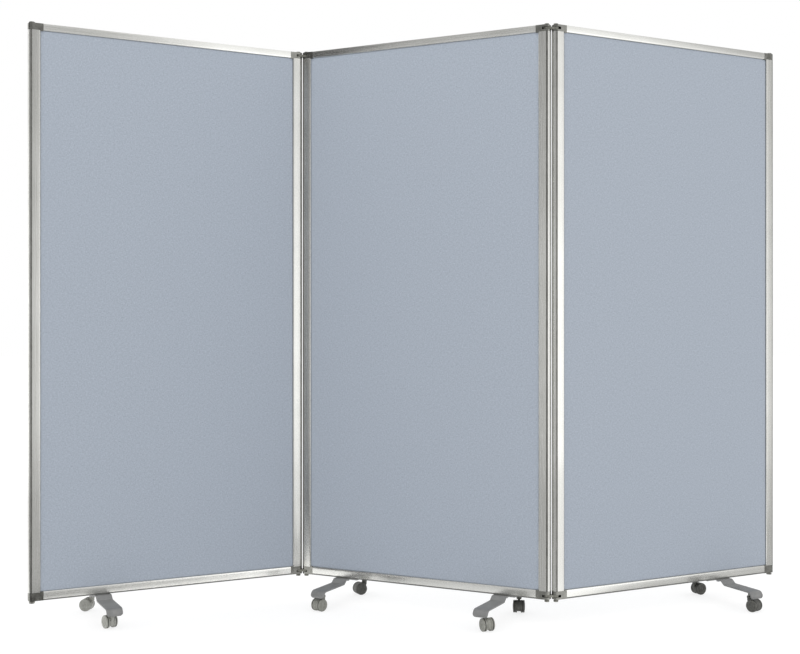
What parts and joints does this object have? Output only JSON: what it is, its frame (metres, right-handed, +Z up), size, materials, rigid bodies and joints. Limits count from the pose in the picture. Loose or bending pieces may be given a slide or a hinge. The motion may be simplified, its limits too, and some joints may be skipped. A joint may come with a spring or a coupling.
{
  "type": "folding privacy screen on castors",
  "caption": "Folding privacy screen: framed fabric panels in a zigzag, joined by double-pivot hinges, on strap feet with swivelling castors.",
  "frame": {"origin": "on the floor, under the centre of the middle panel", "axes": "+X along the screen from left to right, front faces -Y, +Z up"},
  "size_m": [2.3404, 0.5724, 1.8019],
  "materials": {
    "frame_aluminium": "satin anodised",
    "board_fabric": "blue-grey woven cloth",
    "cap_plastic": "dark grey moulded plastic",
    "hinge_steel": "grey coated steel",
    "foot_steel": "grey powder coat",
    "castor_plastic": "grey moulded plastic"
  },
  "bodies": {
    "middle_panel": {"middle_panel_stile_left": "frame_aluminium", "middle_panel_stile_right": "frame_aluminium", "middle_panel_rail_top": "frame_aluminium", "middle_panel_rail_bottom": "frame_aluminium", "middle_panel_board": "board_fabric", "middle_panel_cap_top_left": "cap_plastic", "middle_panel_cap_top_right": "cap_plastic", "middle_panel_cap_bottom_left": "cap_plastic", "middle_panel_cap_bottom_right": "cap_plastic", "middle_left_foot": "foot_steel", "middle_right_foot": "foot_steel", "left_hinge_pin_top_right": "hinge_steel", "left_hinge_pin_bottom_right": "hinge_steel", "right_hinge_pin_top_left": "hinge_steel", "right_hinge_pin_bottom_left": "hinge_steel"},
    "left_link": {"left_hinge_link_top": "hinge_steel", "left_hinge_link_bottom": "hinge_steel"},
    "left_panel": {"left_panel_stile_left": "frame_aluminium", "left_panel_stile_right": "frame_aluminium", "left_panel_rail_top": "frame_aluminium", "left_panel_rail_bottom": "frame_aluminium", "left_panel_board": "board_fabric", "left_panel_cap_top_left": "cap_plastic", "left_panel_cap_top_right": "cap_plastic", "left_panel_cap_bottom_left": "cap_plastic", "left_panel_cap_bottom_right": "cap_plastic", "left_foot": "foot_steel", "left_hinge_pin_top_left": "hinge_steel", "left_hinge_pin_bottom_left": "hinge_steel"},
    "right_link": {"right_hinge_link_top": "hinge_steel", "right_hinge_link_bottom": "hinge_steel"},
    "right_panel": {"right_panel_stile_left": "frame_aluminium", "right_panel_stile_right": "frame_aluminium", "right_panel_rail_top": "frame_aluminium", "right_panel_rail_bottom": "frame_aluminium", "right_panel_board": "board_fabric", "right_panel_cap_top_left": "cap_plastic", "right_panel_cap_top_right": "cap_plastic", "right_panel_cap_bottom_left": "cap_plastic", "right_panel_cap_bottom_right": "cap_plastic", "right_foot": "foot_steel", "right_hinge_pin_top_right": "hinge_steel", "right_hinge_pin_bottom_right": "hinge_steel"},
    "left_foot_front_castor": {"left_foot_front_castor": "castor_plastic"},
    "left_foot_front_wheels": {"left_foot_front_wheels": "castor_plastic"},
    "left_foot_rear_castor": {"left_foot_rear_castor": "castor_plastic"},
    "left_foot_rear_wheels": {"left_foot_rear_wheels": "castor_plastic"},
    "middle_left_foot_front_castor": {"middle_left_foot_front_castor": "castor_plastic"},
    "middle_left_foot_front_wheels": {"middle_left_foot_front_wheels": "castor_plastic"},
    "middle_left_foot_rear_castor": {"middle_left_foot_rear_castor": "castor_plastic"},
    "middle_left_foot_rear_wheels": {"middle_left_foot_rear_wheels": "castor_plastic"},
    "middle_right_foot_front_castor": {"middle_right_foot_front_castor": "castor_plastic"},
    "middle_right_foot_front_wheels": {"middle_right_foot_front_wheels": "castor_plastic"},
    "middle_right_foot_rear_castor": {"middle_right_foot_rear_castor": "castor_plastic"},
    "middle_right_foot_rear_wheels": {"middle_right_foot_rear_wheels": "castor_plastic"},
    "right_foot_front_castor": {"right_foot_front_castor": "castor_plastic"},
    "right_foot_front_wheels": {"right_foot_front_wheels": "castor_plastic"},
    "right_foot_rear_castor": {"right_foot_rear_castor": "castor_plastic"},
    "right_foot_rear_wheels": {"right_foot_rear_wheels": "castor_plastic"}
  },
  "joints": [
    {"name": "left_hinge_middle_pivot", "type": "hinge", "parent": "middle_panel", "child": "left_link", "pos_m": [-0.37698, 0.19624, 1.7875], "axis": [0, 0, 1], "range_deg": [-57.5, 62.5]},
    {"name": "left_hinge_outer_pivot", "type": "hinge", "parent": "left_link", "child": "left_panel", "pos_m": [-0.40398, 0.19624, 1.7875], "axis": [0, 0, 1], "range_deg": [-57.5, 62.5]},
    {"name": "right_hinge_middle_pivot", "type": "hinge", "parent": "middle_panel", "child": "right_link", "pos_m": [0.37698, -0.19624, 1.7875], "axis": [0, 0, 1], "range_deg": [-57.5, 62.5]},
    {"name": "right_hinge_outer_pivot", "type": "hinge", "parent": "right_link", "child": "right_panel", "pos_m": [0.40398, -0.19624, 1.7875], "axis": [0, 0, 1], "range_deg": [-57.5, 62.5]},
    {"name": "left_foot_front_swivel", "type": "hinge", "parent": "left_panel", "child": "left_foot_front_castor", "pos_m": [-0.91473, -0.21732, 0.04], "axis": [0, 0, 1], "continuous": true},
    {"name": "left_foot_front_roll", "type": "hinge", "parent": "left_foot_front_castor", "child": "left_foot_front_wheels", "pos_m": [-0.92533, -0.20468, 0.0195], "axis": [-0.766, -0.6428, 0], "continuous": true},
    {"name": "left_foot_rear_swivel", "type": "hinge", "parent": "left_panel", "child": "left_foot_rear_castor", "pos_m": [-1.0357, 0.01507, 0.04], "axis": [0, 0, 1], "continuous": true},
    {"name": "left_foot_rear_roll", "type": "hinge", "parent": "left_foot_rear_castor", "child": "left_foot_rear_wheels", "pos_m": [-1.05204, 0.01737, 0.0195], "axis": [-0.1392, -0.9903, 0], "continuous": true},
    {"name": "middle_left_foot_front_swivel", "type": "hinge", "parent": "middle_panel", "child": "middle_left_foot_front_castor", "pos_m": [-0.30885, 0.01309, 0.04], "axis": [0, 0, 1], "continuous": true},
    {"name": "middle_left_foot_front_roll", "type": "hinge", "parent": "middle_left_foot_front_castor", "child": "middle_left_foot_front_wheels", "pos_m": [-0.31946, 0.00045, 0.0195], "axis": [0.766, -0.6428, 0], "continuous": true},
    {"name": "middle_left_foot_rear_swivel", "type": "hinge", "parent": "middle_panel", "child": "middle_left_foot_rear_castor", "pos_m": [-0.18787, 0.24549, 0.04], "axis": [0, 0, 1], "continuous": true},
    {"name": "middle_left_foot_rear_roll", "type": "hinge", "parent": "middle_left_foot_rear_castor", "child": "middle_left_foot_rear_wheels", "pos_m": [-0.2027, 0.23825, 0.0195], "axis": [0.4384, -0.8988, 0], "continuous": true},
    {"name": "middle_right_foot_front_swivel", "type": "hinge", "parent": "middle_panel", "child": "middle_right_foot_front_castor", "pos_m": [0.18787, -0.24549, 0.04], "axis": [0, 0, 1], "continuous": true},
    {"name": "middle_right_foot_front_roll", "type": "hinge", "parent": "middle_right_foot_front_castor", "child": "middle_right_foot_front_wheels", "pos_m": [0.19406, -0.26079, 0.0195], "axis": [0.9272, 0.3746, 0], "continuous": true},
    {"name": "middle_right_foot_rear_swivel", "type": "hinge", "parent": "middle_panel", "child": "middle_right_foot_rear_castor", "pos_m": [0.30885, -0.01309, 0.04], "axis": [0, 0, 1], "continuous": true},
    {"name": "middle_right_foot_rear_roll", "type": "hinge", "parent": "middle_right_foot_rear_castor", "child": "middle_right_foot_rear_wheels", "pos_m": [0.30713, -0.0295, 0.0195], "axis": [0.9945, -0.1045, 0], "continuous": true},
    {"name": "right_foot_front_swivel", "type": "hinge", "parent": "right_panel", "child": "right_foot_front_castor", "pos_m": [1.0357, -0.01507, 0.04], "axis": [0, 0, 1], "continuous": true},
    {"name": "right_foot_front_roll", "type": "hinge", "parent": "right_foot_front_castor", "child": "right_foot_front_wheels", "pos_m": [1.04674, -0.02734, 0.0195], "axis": [0.7431, 0.6691, 0], "continuous": true},
    {"name": "right_foot_rear_swivel", "type": "hinge", "parent": "right_panel", "child": "right_foot_rear_castor", "pos_m": [0.91473, 0.21732, 0.04], "axis": [0, 0, 1], "continuous": true},
    {"name": "right_foot_rear_roll", "type": "hinge", "parent": "right_foot_rear_castor", "child": "right_foot_rear_wheels", "pos_m": [0.92968, 0.22429, 0.0195], "axis": [-0.4226, 0.9063, 0], "continuous": true}
  ]
}
